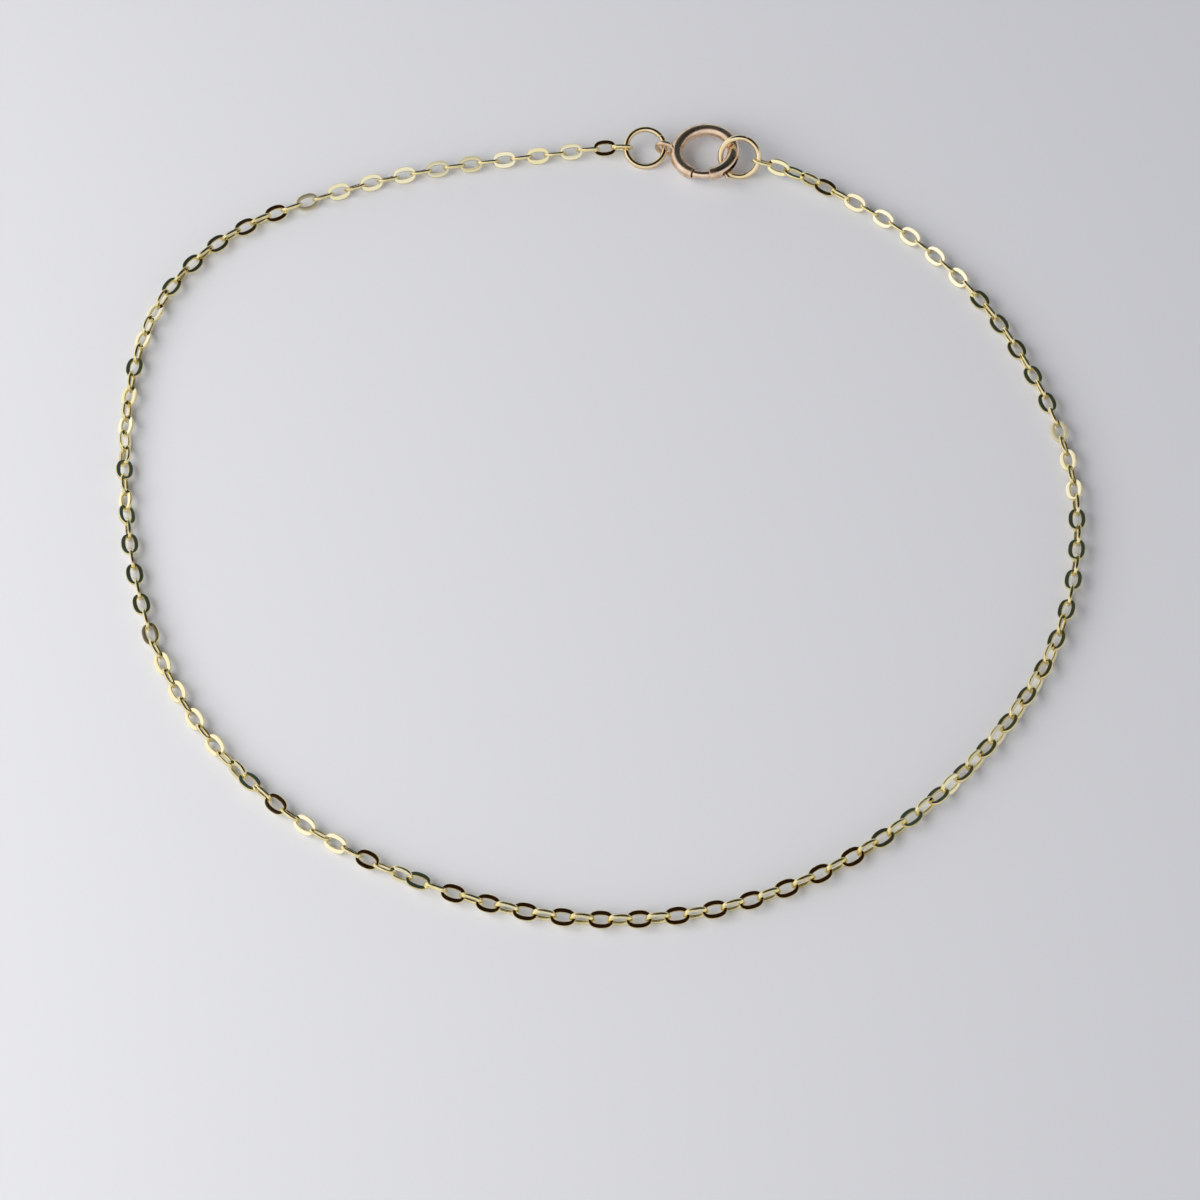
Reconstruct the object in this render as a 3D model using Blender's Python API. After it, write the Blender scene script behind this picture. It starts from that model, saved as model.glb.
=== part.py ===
"""Cable chain bracelet: flat oval links, two jump rings and a spring ring clasp, lying fastened."""

import math

import bmesh
import bpy
import numpy as np
from mathutils import Matrix, Vector

MM = 0.001

# Chain links, of round wire cut flat on both faces, which is thinner where the links bear
WANTED_PITCH = 1.062 * MM
LINK_INNER_WIDTH = 0.53 * MM
LINK_WIRE_WIDTH = 0.23 * MM
LINK_END_WIDTH = 0.17 * MM
LINK_THICKNESS = 0.18 * MM
LINK_EDGE_ROUND = 0.05 * MM
LINK_SIDES = 10
LINK_WIRE_SIDES = 5
SHOULDER_ANGLE = math.radians(55)
MEETING_GAP = 0.06 * MM
# Within these distances two points are one, and a facet's middle is on a joint between links
WELD_DISTANCE = LINK_THICKNESS / 1000
FACET_REACH = LINK_THICKNESS / 20

# Jump rings at the two ends of the chain
RING_DIAMETER = 2.80 * MM
RING_WIRE = 0.36 * MM
RING_SIDES = 12
RING_WIRE_SIDES = 5
EYE_RING_LEAN = math.radians(22)
END_RING_LEAN = math.radians(45)

# Clasp: a round tube bent to a ring, with a curved bolt inside and a fixed eye
CLASP_DIAMETER = 4.40 * MM
TUBE_DIAMETER = 0.80 * MM
TUBE_WALL = 0.125 * MM
TUBE_SIDES = 6
# Turns the tube's section so that one of its flats faces down
FLAT_TURN = math.pi / TUBE_SIDES
TUBE_STEPS = 14
BOLT_PLAY = 0.05 * MM
BOLT_STEPS = 5
MOUTH_ANGLE = math.radians(-70)
BOLT_TRAVEL = math.radians(38)
SOCKET_DEPTH = math.radians(4)
SOCKET_SPARE = math.radians(2)
KNOB_ANGLE = math.radians(-44)
KNOB_DIAMETER = 0.28 * MM
KNOB_REACH = 0.50 * MM
BOLT_TAIL = math.radians(6)
EYE_HOLE = 0.70 * MM
EYE_WIRE = 0.30 * MM
EYE_SINK = 0.12 * MM
EYE_SIDES = 10
EYE_WIRE_SIDES = 5

# How far each piece stays clear of what it is hooked through, and the play at the end links
HOOK_CLEARANCE = 0.05 * MM
END_LINK_PLAY = 0.09 * MM

# The loop as it lies, between the outermost points of its route
LOOP_WIDTH = 56.6 * MM
LOOP_DEPTH = 54.0 * MM

# Middle of the chain seen from above, counter-clockwise from the clasp, in millimetres, which is
# stretched to the loop's width and depth
ROUTE = (
    (6.6, 32.75),
    (2.7, 33.3),
    (-4.6, 32.7),
    (-12.6, 31.2),
    (-18.9, 28.9),
    (-23.9, 25.7),
    (-27.1, 21.1),
    (-28.4, 15.4),
    (-28.4, 9.0),
    (-27.6, 3.0),
    (-25.9, -3.0),
    (-22.6, -9.0),
    (-17.6, -14.2),
    (-10.6, -18.3),
    (-3.1, -20.6),
    (4.0, -20.7),
    (11.0, -18.7),
    (17.3, -14.7),
    (22.6, -9.3),
    (26.4, -3.1),
    (28.2, 4.3),
    (27.9, 10.6),
    (25.9, 16.8),
    (22.5, 22.8),
    (17.6, 27.9),
    (12.4, 31.0),
)
# What brings the middle of the whole bracelet to the origin
ROUTE_SHIFT = (0.145, -6.785)

# Share of the chain from the eye ring to the end ring, and the turn of every other link in degrees.
# At turn 0 it lies flat, and more leans its face to the middle of the loop.
TURNS = (
    (0.000, math.degrees(EYE_RING_LEAN)),
    (0.025, 32),
    (0.076, 32),
    (0.089, 42),
    (0.121, 38),
    (0.140, 14),
    (0.178, 10),
    (0.197, -18),
    (0.210, -20),
    (0.223, -2),
    (0.236, -22),
    (0.248, -23),
    (0.261, -48),
    (0.274, -104),
    (0.287, -152),
    (0.299, -178),
    (0.331, -178),
    (0.338, -198),
    (0.350, -206),
    (0.389, -208),
    (0.420, -288),
    (0.433, -306),
    (0.446, -308),
    (0.459, -290),
    (0.484, -367),
    (0.631, -367),
    (0.675, -332),
    (0.739, -332),
    (0.771, -352),
    (0.803, -352),
    (0.809, -333),
    (0.834, -331),
    (0.847, -352),
    (0.898, -352),
    (0.911, -327),
    (0.962, -327),
    (0.981, -365),
    (1.000, -360 - math.degrees(END_RING_LEAN)),
)
# Shares of the chain over which it comes down from the eye ring and rises to the end ring
START_FALL = 0.03
END_RISE = 0.035

GOLD = (0.83, 0.62, 0.30, 1.0)
UP = Vector((0, 0, 1))


def clear_scene():
    for old in list(bpy.data.objects):
        bpy.data.objects.remove(old, do_unlink=True)


def gold(name, roughness):
    material = bpy.data.materials.new(name)
    material.use_nodes = True
    shader = material.node_tree.nodes["Principled BSDF"]
    shader.inputs["Base Color"].default_value = GOLD
    shader.inputs["Metallic"].default_value = 1.0
    shader.inputs["Roughness"].default_value = roughness
    return material


def object_from(name, bm, collection, material=None):
    mesh = bpy.data.meshes.new(name)
    bm.to_mesh(mesh)
    bm.free()
    made = bpy.data.objects.new(name, mesh)
    collection.objects.link(made)
    if material:
        mesh.materials.append(material)
    return made


class Route:
    """The closed line through the route's points, read by the distance along it."""

    samples_per_span = 60

    def __init__(self, points, shift):
        points = np.array(points)
        stretch = np.array((LOOP_WIDTH, LOOP_DEPTH)) / np.ptp(points, axis=0)
        knots = (points + shift) * stretch
        steps = np.linalg.norm(np.roll(knots, -1, axis=0) - knots, axis=1)
        bends = self.second_derivatives(knots, steps)
        pieces = []
        for i, step in enumerate(steps):
            j = (i + 1) % len(knots)
            part = np.linspace(0, 1, self.samples_per_span, endpoint=False)[:, None]
            rest = 1 - part
            pieces.append(
                rest * knots[i]
                + part * knots[j]
                + ((rest**3 - rest) * bends[i] + (part**3 - part) * bends[j]) * step**2 / 6
            )
        line = np.concatenate(pieces)
        self.line = np.vstack([line, line[:1]])
        lengths = np.linalg.norm(np.diff(self.line, axis=0), axis=1)
        self.along = np.concatenate([[0], np.cumsum(lengths)])
        self.length = self.along[-1]

    @staticmethod
    def second_derivatives(knots, steps):
        """Those of the smooth closed cubic through the points."""
        count = len(knots)
        matrix = np.zeros((count, count))
        wanted = np.zeros((count, 2))
        for i in range(count):
            before, after = i - 1, (i + 1) % count
            matrix[i, before] += steps[before]
            matrix[i, i] += 2 * (steps[before] + steps[i])
            matrix[i, after] += steps[i]
            wanted[i] = 6 * (
                (knots[after] - knots[i]) / steps[i] - (knots[i] - knots[before]) / steps[before]
            )
        return np.linalg.solve(matrix, wanted)

    def point(self, distance, height=0.0):
        distance = distance % self.length
        x = np.interp(distance, self.along, self.line[:, 0])
        y = np.interp(distance, self.along, self.line[:, 1])
        return Vector((x, y, height))

    def direction(self, distance):
        reach = WANTED_PITCH / 4
        return (self.point(distance + reach) - self.point(distance - reach)).normalized()


class Closure:
    """Where the clasp and the two rings sit along the route, and how high."""

    def __init__(self, route):
        ring_radius = (RING_DIAMETER - RING_WIRE) / 2
        self.ring_radius = ring_radius
        self.tube_radius = TUBE_DIAMETER / 2
        self.clasp_radius = CLASP_DIAMETER / 2 - self.tube_radius
        eye_radius = (EYE_HOLE + EYE_WIRE) / 2
        self.eye_centre = CLASP_DIAMETER / 2 - EYE_SINK + eye_radius

        # The end ring leans with its front on the floor, and the tube crosses it on its level diameter
        self.end_ring_height = ring_radius * math.sin(END_RING_LEAN) + RING_WIRE / 2
        self.end_ring_offset = self.hook_offset()

        # The clasp stands on its eye and hangs in the end ring, so its plane slopes up to that ring
        eye_height = EYE_HOLE / 2 + EYE_WIRE
        rise = self.end_ring_height - eye_height
        self.slope = math.atan2(rise, self.clasp_radius + self.eye_centre)
        self.clasp_height = self.end_ring_height - self.clasp_radius * math.sin(self.slope)

        # The eye ring leans on its front with its level diameter in the eye's hole and the first link's
        self.eye_ring_height = ring_radius * math.sin(EYE_RING_LEAN) + RING_WIRE / 2
        self.eye_ring_place = self.eye_centre * math.cos(self.slope) + ring_radius

        self.chain_start = self.eye_ring_place + ring_radius + self.wire_seat()
        end_ring_centre = self.clasp_radius * math.cos(self.slope) + self.end_ring_offset
        self.end_ring_place = route.length - end_ring_centre
        self.chain_end = self.end_ring_place - ring_radius - self.wire_seat()
        self.route = route

    def hook_offset(self):
        """How far past the tube the end ring's centre can lie with its wire clear of the tube."""
        turn_samples, bend_samples, offset_samples = 240, 120, 100
        turns = np.linspace(0, 2 * math.pi, turn_samples)
        bends = np.linspace(-1, 1, bend_samples)
        tube = np.stack(
            [self.clasp_radius * (np.cos(bends) - 1), self.clasp_radius * np.sin(bends), 0 * bends], 1
        )
        wire = self.ring_radius * np.stack(
            [
                np.cos(turns),
                np.sin(turns) * math.cos(END_RING_LEAN),
                np.sin(turns) * math.sin(END_RING_LEAN),
            ],
            1,
        )
        facet_loss = self.ring_radius * (1 - math.cos(math.pi / RING_SIDES))
        apart = self.tube_radius + RING_WIRE / 2 + HOOK_CLEARANCE + facet_loss
        clear = 0.0
        for offset in np.linspace(0, self.ring_radius, offset_samples):
            gaps = np.linalg.norm(tube[:, None] - wire[None] - (offset, 0, 0), axis=2)
            if gaps.min() >= apart:
                clear = offset
        return clear

    @staticmethod
    def wire_seat():
        """From an end link's centre to the ring's wire that lies in its end."""
        return WANTED_PITCH / 2 - RING_WIRE / 2 - END_LINK_PLAY

    def clasp_frame(self):
        """Clasp's own axes: X towards the end ring, Z across its plane."""
        level = -self.route.direction(0)
        back = UP.cross(level)
        forward = math.cos(self.slope) * level + math.sin(self.slope) * UP
        origin = self.route.point(0, self.clasp_height)
        return frame_matrix(origin, forward, back, forward.cross(back))


def frame_matrix(origin, x_axis, y_axis, z_axis):
    matrix = Matrix((x_axis, y_axis, z_axis)).transposed().to_4x4()
    matrix.translation = origin
    return matrix


def turn_at(share):
    shares = [row[0] for row in TURNS]
    return math.radians(np.interp(share, shares, [row[1] for row in TURNS]))


def smooth_step(part):
    part = min(max(part, 0.0), 1.0)
    return part * part * (3 - 2 * part)


def link_height(odd_turn):
    """Height of the chain's middle where its links stand on the floor at this turn."""
    outer = LINK_INNER_WIDTH / 2 + LINK_WIRE_WIDTH
    tops = []
    for turn in (odd_turn, odd_turn + math.pi / 2):
        upright, level = abs(math.sin(turn)), abs(math.cos(turn))
        flat = (outer - LINK_EDGE_ROUND) * upright + LINK_THICKNESS / 2 * level
        tops.append(max(outer * upright, flat))
    return max(tops)


class Chain:
    """The run of links between the two rings."""

    def __init__(self, route, closure):
        self.route = route
        self.start = closure.chain_start
        self.end = closure.chain_end
        self.start_height = closure.eye_ring_height
        self.end_height = closure.end_ring_height
        run = self.end - self.start
        self.half_count = round((run / WANTED_PITCH + 1) / 2)
        self.pitch = (run + MEETING_GAP) / (2 * self.half_count - 1)

    def place(self, distance, sideways, outward, even):
        """World point of a link's own sideways and outward measures at a distance on the route."""
        share = (distance - self.start) / (self.end - self.start)
        turn = turn_at(share)
        height = link_height(turn)
        height += (self.start_height - height) * smooth_step(1 - share / START_FALL)
        height += (self.end_height - height) * smooth_step(1 - (1 - share) / END_RISE)
        along = self.route.direction(distance)
        inside = UP.cross(along)
        if even:
            turn += math.pi / 2
        normal = math.cos(turn) * UP + math.sin(turn) * inside
        side = normal.cross(along)
        return self.route.point(distance, height) + sideways * side + outward * normal


def link_outline(half_width, half_length, centre):
    """Points round an oval whose ends bend about this centre, with a short facet square across each."""
    corner = (half_length, LINK_THICKNESS / 2)
    shoulder = (
        centre + (half_length - centre) * math.cos(SHOULDER_ANGLE),
        half_width * math.sin(SHOULDER_ANGLE),
    )
    quarter = [corner, shoulder]
    top = quarter + [(0, half_width)] + [(-x, y) for x, y in reversed(quarter)]
    return top + [(-x, -y) for x, y in top]


def link_shape(pitch):
    """Every point of one link as its distance along, sideways and outward, in the torus's order."""
    inner = LINK_INNER_WIDTH / 2
    outer = inner + LINK_WIRE_WIDTH
    flat = LINK_THICKNESS / 2
    section = (
        (outer, 0),
        (outer - LINK_EDGE_ROUND, flat),
        (inner, flat),
        (inner, -flat),
        (outer - LINK_EDGE_ROUND, -flat),
    )
    centre = pitch / 2 - math.sqrt(inner**2 - flat**2)
    rings = []
    for half_width, _ in section:
        share = (half_width - inner) / LINK_WIRE_WIDTH
        rings.append(link_outline(half_width, pitch / 2 + share * LINK_END_WIDTH, centre))
    return [
        (*rings[j][i], section[j][1]) for i in range(LINK_SIDES) for j in range(LINK_WIRE_SIDES)
    ]


def torus_mesh(major_sides, minor_sides):
    """A plain torus to be shaped, from the primitive."""
    bpy.ops.mesh.primitive_torus_add(major_segments=major_sides, minor_segments=minor_sides)
    made = bpy.context.object
    mesh = made.data
    bpy.data.objects.remove(made)
    return mesh


def chain_half(name, chain, numbers, first_place, collection, material):
    """Links with these numbers, each joined to the next at the facet where they bear on each other."""
    template = torus_mesh(LINK_SIDES, LINK_WIRE_SIDES)
    shape = link_shape(chain.pitch)
    bm = bmesh.new()
    for number in numbers:
        middle = first_place + (number - numbers[0]) * chain.pitch
        before = len(bm.verts)
        bm.from_mesh(template)
        bm.verts.ensure_lookup_table()
        for vertex, (along, side, out) in zip(bm.verts[before:], shape):
            vertex.co = chain.place(middle + along, side, out, number % 2 == 0)
    bpy.data.meshes.remove(template)
    bm.normal_update()
    joints = [first_place + (i + 0.5) * chain.pitch for i in range(len(numbers) - 1)]
    remove_bearing_faces(bm, [chain.place(joint, 0, 0, True) for joint in joints])
    bmesh.ops.remove_doubles(bm, verts=bm.verts, dist=WELD_DISTANCE)
    return object_from(name, bm, collection, material)


def remove_bearing_faces(bm, centres):
    """Takes out the two facets that meet at each of these points."""
    nearest = {}
    for face in bm.faces:
        middle = face.calc_center_median()
        key = (round(middle.x / MM), round(middle.y / MM))
        nearest.setdefault(key, []).append((middle, face))
    doomed = set()
    for centre in centres:
        column, row = round(centre.x / MM), round(centre.y / MM)
        for key in ((i, j) for i in (column - 1, column, column + 1) for j in (row - 1, row, row + 1)):
            for middle, face in nearest.get(key, ()):
                if (middle - centre).length < FACET_REACH:
                    doomed.add(face)
    bmesh.ops.delete(bm, geom=list(doomed), context="FACES_ONLY")


def jump_ring(name, matrix, collection, material):
    """A round wire ring in the XY plane of this matrix."""
    bpy.ops.mesh.primitive_torus_add(
        major_segments=RING_SIDES,
        minor_segments=RING_WIRE_SIDES,
        major_radius=(RING_DIAMETER - RING_WIRE) / 2,
        minor_radius=RING_WIRE / 2,
    )
    ring = bpy.context.object
    for owner in list(ring.users_collection):
        owner.objects.unlink(ring)
    collection.objects.link(ring)
    ring.name = name
    ring.data.name = name
    ring.matrix_world = matrix
    ring.data.materials.append(material)
    return ring


def leaning_ring(name, closure, place, height, lean, collection, material):
    """A jump ring across the route, with its level diameter along it and its back edge raised."""
    along = closure.route.direction(place)
    back = -UP.cross(along)
    across = math.cos(lean) * back + math.sin(lean) * UP
    matrix = frame_matrix(closure.route.point(place, height), along, across, along.cross(across))
    return jump_ring(name, matrix, collection, material)


def bent_bar(name, sides, half_size, start, end, steps, collection, spread=0.0, turn=0.0):
    """A bar with a regular section, bent round Z at the clasp's radius, with flat ends."""
    radius = CLASP_DIAMETER / 2 - TUBE_DIAMETER / 2 + spread
    bm = bmesh.new()
    bmesh.ops.create_circle(bm, segments=sides, radius=half_size)
    stand = Matrix.Rotation(math.pi / 2, 4, "X") @ Matrix.Rotation(turn, 4, "Z")
    place = Matrix.Rotation(start, 4, "Z") @ Matrix.Translation((radius, 0, 0)) @ stand
    bmesh.ops.transform(bm, matrix=place, verts=bm.verts)
    bmesh.ops.spin(
        bm, geom=bm.verts[:] + bm.edges[:], axis=UP, cent=(0, 0, 0), angle=end - start, steps=steps
    )
    bmesh.ops.holes_fill(bm, edges=[edge for edge in bm.edges if edge.is_boundary])
    bmesh.ops.recalc_face_normals(bm, faces=bm.faces)
    return object_from(name, bm, collection)


def boolean(target, other, operation):
    modifier = target.modifiers.new(other.name, "BOOLEAN")
    modifier.operation = operation
    modifier.object = other
    other.hide_render = True
    other.display_type = "WIRE"


def clasp_body(closure, frame, parts, helpers, material):
    """The ring of tube with its mouth, bore, slot and eye."""
    socket_face = MOUTH_ANGLE - BOLT_TRAVEL + SOCKET_DEPTH
    tube = bent_bar(
        "clasp_body",
        TUBE_SIDES,
        TUBE_DIAMETER / 2,
        MOUTH_ANGLE,
        socket_face + 2 * math.pi,
        TUBE_STEPS,
        parts,
        turn=FLAT_TURN,
    )
    bore_radius = TUBE_DIAMETER / 2 - TUBE_WALL
    knob_half = (KNOB_DIAMETER / 2 + 2 * BOLT_PLAY) / closure.clasp_radius
    bore_end = KNOB_ANGLE + BOLT_TAIL + BOLT_TRAVEL + SOCKET_SPARE
    past_mouth = SOCKET_SPARE
    bore = bent_bar(
        "bore_cutter",
        TUBE_SIDES,
        bore_radius,
        MOUTH_ANGLE - past_mouth,
        bore_end,
        BOLT_STEPS,
        helpers,
        turn=FLAT_TURN,
    )
    socket = bent_bar(
        "socket_cutter",
        TUBE_SIDES,
        bore_radius,
        MOUTH_ANGLE - BOLT_TRAVEL - SOCKET_SPARE,
        socket_face + past_mouth,
        1,
        helpers,
        turn=FLAT_TURN,
    )
    slot_half = KNOB_DIAMETER / 2 + BOLT_PLAY
    slot = bent_bar(
        "slot_cutter",
        4,
        slot_half * math.sqrt(2),
        KNOB_ANGLE - knob_half,
        KNOB_ANGLE + BOLT_TRAVEL + knob_half,
        3,
        helpers,
        spread=bore_radius + slot_half / 2,
        turn=math.pi / 4,
    )
    eye = clasp_eye(closure, helpers)
    boolean(tube, eye, "UNION")
    for cutter in (bore, socket, slot):
        boolean(tube, cutter, "DIFFERENCE")
    tube.data.materials.append(material)
    for piece in (tube, eye, bore, socket, slot):
        piece.matrix_world = frame @ piece.matrix_world
    return tube


def clasp_eye(closure, helpers):
    """The fixed loop, upright, sunk a little into the tube opposite the end ring."""
    bpy.ops.mesh.primitive_torus_add(
        major_segments=EYE_SIDES,
        minor_segments=EYE_WIRE_SIDES,
        major_radius=(EYE_HOLE + EYE_WIRE) / 2,
        minor_radius=EYE_WIRE / 2,
    )
    eye = bpy.context.object
    for owner in list(eye.users_collection):
        owner.objects.unlink(eye)
    helpers.objects.link(eye)
    eye.name = "eye_loop"
    upright = Matrix.Rotation(math.pi / 2, 4, "X")
    eye.matrix_world = Matrix.Translation((-closure.eye_centre, 0, 0)) @ upright
    return eye


def clasp_bolt(closure, frame, parts, helpers, material):
    """The curved bolt that closes the mouth, with the knob that draws it back."""
    radius = TUBE_DIAMETER / 2 - TUBE_WALL - BOLT_PLAY
    bolt = bent_bar(
        "clasp_bolt",
        TUBE_SIDES,
        radius,
        MOUTH_ANGLE - BOLT_TRAVEL,
        KNOB_ANGLE + BOLT_TAIL,
        BOLT_STEPS,
        parts,
        turn=FLAT_TURN,
    )
    bm = bmesh.new()
    reach = TUBE_DIAMETER / 2 + KNOB_REACH
    bmesh.ops.create_cone(
        bm,
        cap_ends=True,
        segments=6,
        radius1=KNOB_DIAMETER / 2,
        radius2=KNOB_DIAMETER / 2,
        depth=reach,
    )
    lay = Matrix.Rotation(math.pi / 2, 4, "Y")
    outward = Matrix.Translation((closure.clasp_radius + reach / 2, 0, 0)) @ lay
    bmesh.ops.transform(bm, matrix=Matrix.Rotation(KNOB_ANGLE, 4, "Z") @ outward, verts=bm.verts)
    knob = object_from("knob", bm, helpers)
    boolean(bolt, knob, "UNION")
    bolt.data.materials.append(material)
    for piece in (bolt, knob):
        piece.matrix_world = frame @ piece.matrix_world
    return bolt


def main():
    clear_scene()
    parts = bpy.data.collections.new("cable_chain_bracelet")
    helpers = bpy.data.collections.new("cutters")
    for collection in (parts, helpers):
        bpy.context.scene.collection.children.link(collection)
    chain_gold = gold("pressed_chain_gold", 0.08)
    ring_gold = gold("jump_ring_gold", 0.15)
    clasp_gold = gold("clasp_gold", 0.18)

    route = Route(ROUTE, ROUTE_SHIFT)
    closure = Closure(route)
    chain = Chain(route, closure)
    half = chain.half_count
    left = list(range(half))
    right = list(range(half, 2 * half))
    right_first = chain.end - (half - 1) * chain.pitch
    chain_half("chain_left", chain, left, chain.start, parts, chain_gold)
    chain_half("chain_right", chain, right, right_first, parts, chain_gold)
    rings = (
        ("eye_ring", closure.eye_ring_place, closure.eye_ring_height, EYE_RING_LEAN),
        ("end_ring", closure.end_ring_place, closure.end_ring_height, END_RING_LEAN),
    )
    for name, place, height, lean in rings:
        leaning_ring(name, closure, place, height, lean, parts, ring_gold)
    frame = closure.clasp_frame()
    clasp_body(closure, frame, parts, helpers, clasp_gold)
    clasp_bolt(closure, frame, parts, helpers, clasp_gold)
    print("links", 2 * half, "pitch", round(chain.pitch / MM, 4), "mm")
    print("clasp centre", [round(value, 6) for value in frame.translation])


main()
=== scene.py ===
import math
import random

import bmesh
import bpy
import numpy as np
from mathutils import Matrix, Vector


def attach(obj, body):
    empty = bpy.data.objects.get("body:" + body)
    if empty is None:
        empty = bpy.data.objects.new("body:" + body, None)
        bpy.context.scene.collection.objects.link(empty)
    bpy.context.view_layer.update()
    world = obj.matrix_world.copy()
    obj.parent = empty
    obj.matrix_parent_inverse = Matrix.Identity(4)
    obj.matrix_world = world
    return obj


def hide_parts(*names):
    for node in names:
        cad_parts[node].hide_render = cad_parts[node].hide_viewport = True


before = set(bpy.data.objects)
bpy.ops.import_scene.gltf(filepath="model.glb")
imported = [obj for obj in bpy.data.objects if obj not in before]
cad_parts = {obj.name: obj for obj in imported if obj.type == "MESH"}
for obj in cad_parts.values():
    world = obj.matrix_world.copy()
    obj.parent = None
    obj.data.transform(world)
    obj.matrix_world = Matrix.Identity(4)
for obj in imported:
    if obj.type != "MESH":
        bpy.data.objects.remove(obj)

mm = 0.001
upward = Vector((0, 0, 1))
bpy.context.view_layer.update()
pieces = bpy.data.collections.new("bracelet pieces")
bpy.context.scene.collection.children.link(pieces)

# The photograph looks down on the loop from the front, from about a hand's length away
cameraSettings = {
    "target": (0.145 * mm, -6.785 * mm, 0.47 * mm),
    "elevation": 58.528,
    "distance": 224.75 * mm,
    "lens": 115.21,
    "sensor": 36.0,
    "sees": (0.01, 20),  # nearest and furthest, in metres
}


def makeCamera(settings):
    data = bpy.data.cameras.new("camera")
    data.type = "PERSP"
    data.sensor_width = settings["sensor"]
    data.lens = settings["lens"]
    data.clip_start, data.clip_end = settings["sees"]
    tilt = math.radians(settings["elevation"])
    back = Vector((0, -math.cos(tilt), math.sin(tilt)))
    camera = bpy.data.objects.new("camera", data)
    camera.location = Vector(settings["target"]) + back * settings["distance"]
    camera.rotation_mode = "QUATERNION"
    camera.rotation_quaternion = (-back).to_track_quat("-Z", "Y")
    bpy.context.scene.collection.objects.link(camera)
    bpy.context.scene.camera = camera


makeCamera(cameraSettings)
bpy.context.scene.view_settings.view_transform = "Standard"
print("camera set")


def linearFrom(hexColour):
    channels = [int(hexColour[i:i + 2], 16) / 255 for i in (1, 3, 5)]
    return [c / 12.92 if c <= 0.04045 else ((c + 0.055) / 1.055) ** 2.4 for c in channels] + [1.0]


# One node with its settings and links; a number as a key is the place of the input
def addNode(tree, kind, settings=None, links=None):
    node = tree.nodes.new(kind)
    for key, value in (settings or {}).items():
        if isinstance(key, int) or key in node.inputs:
            node.inputs[key].default_value = value
        else:
            setattr(node, key, value)
    for key, source in (links or {}).items():
        tree.links.new(source, node.inputs[key])
    return node


def newMaterial(name, metallic=1.0):
    material = bpy.data.materials.new(name)
    material.use_nodes = True
    shader = material.node_tree.nodes["Principled BSDF"]
    shader.inputs["Metallic"].default_value = metallic
    return material, material.node_tree, shader


# Polished 14k yellow gold, cut flat with a diamond tool after the links were closed.
# The flats are mirrors: they go nearly black or flash cream with what stands above them.
# In each finish the ranges are values of its noise, between which tone or gloss goes over.
cutGold = {
    "pale": "#FBF4CE",
    "deep": "#F3E7B2",
    "roughness": (0.03, 0.075),
    "toolMark": 0.03,  # the tool leaves 0.01 mm marks, drawn three times as coarse so that they show
    "stretch": 14,
    "markDepth": 0.0006 * mm,
    "wipe": 0.35,  # soft cloth marks, in mm
    "wipeRange": (0.35, 0.65),
}


def cutGoldMaterial(settings):
    material, tree, shader = newMaterial("diamond cut 14k yellow gold")
    place = addNode(tree, "ShaderNodeUVMap", {"uv_map": "wire"})
    tone = addNode(tree, "ShaderNodeAttribute", {"attribute_name": "linkTone"})
    colour = addNode(
        tree, "ShaderNodeMix",
        {"data_type": "RGBA", 6: linearFrom(settings["pale"]), 7: linearFrom(settings["deep"])},
        {0: tone.outputs["Fac"]},
    )
    tree.links.new(colour.outputs[2], shader.inputs["Base Color"])
    across = 1 / settings["toolMark"]
    marks = addNode(
        tree, "ShaderNodeMapping", {"Scale": (across, across / settings["stretch"], 1)},
        {"Vector": place.outputs["UV"]},
    )
    grain = addNode(
        tree, "ShaderNodeTexNoise", {"Scale": 1.0, "Detail": 2.0}, {"Vector": marks.outputs["Vector"]}
    )
    wiped = addNode(
        tree, "ShaderNodeTexNoise",
        {"Scale": 1 / settings["wipe"], "Detail": 3.0},
        {"Vector": place.outputs["UV"]},
    )
    (start, end), (low, high) = settings["wipeRange"], settings["roughness"]
    gloss = addNode(
        tree, "ShaderNodeMapRange", {"From Min": start, "From Max": end, "To Min": low, "To Max": high},
        {"Value": wiped.outputs["Fac"]},
    )
    tree.links.new(gloss.outputs["Result"], shader.inputs["Roughness"])
    bump = addNode(
        tree, "ShaderNodeBump",
        {"Distance": settings["markDepth"], "Strength": 0.5},
        {"Height": grain.outputs["Fac"]},
    )
    tree.links.new(bump.outputs["Normal"], shader.inputs["Normal"])
    return material


# The same gold on the sides of the wire, drawn through a die and left a little softer.
# Fine lines run along the wire and stretch the light into warm yellow bands.
drawnGold = {
    "pale": "#F5E8B2",
    "deep": "#E4CF8C",
    "roughness": (0.2, 0.32),
    "dieLine": 0.03,  # die lines are 0.005 mm apart, drawn six times as coarse
    "stretch": 20,
    "lineDepth": 0.0012 * mm,
    "tarnish": 0.6,
    "toneRange": (0.35, 0.7),
    "glossRange": (0.3, 0.7),
}


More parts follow.
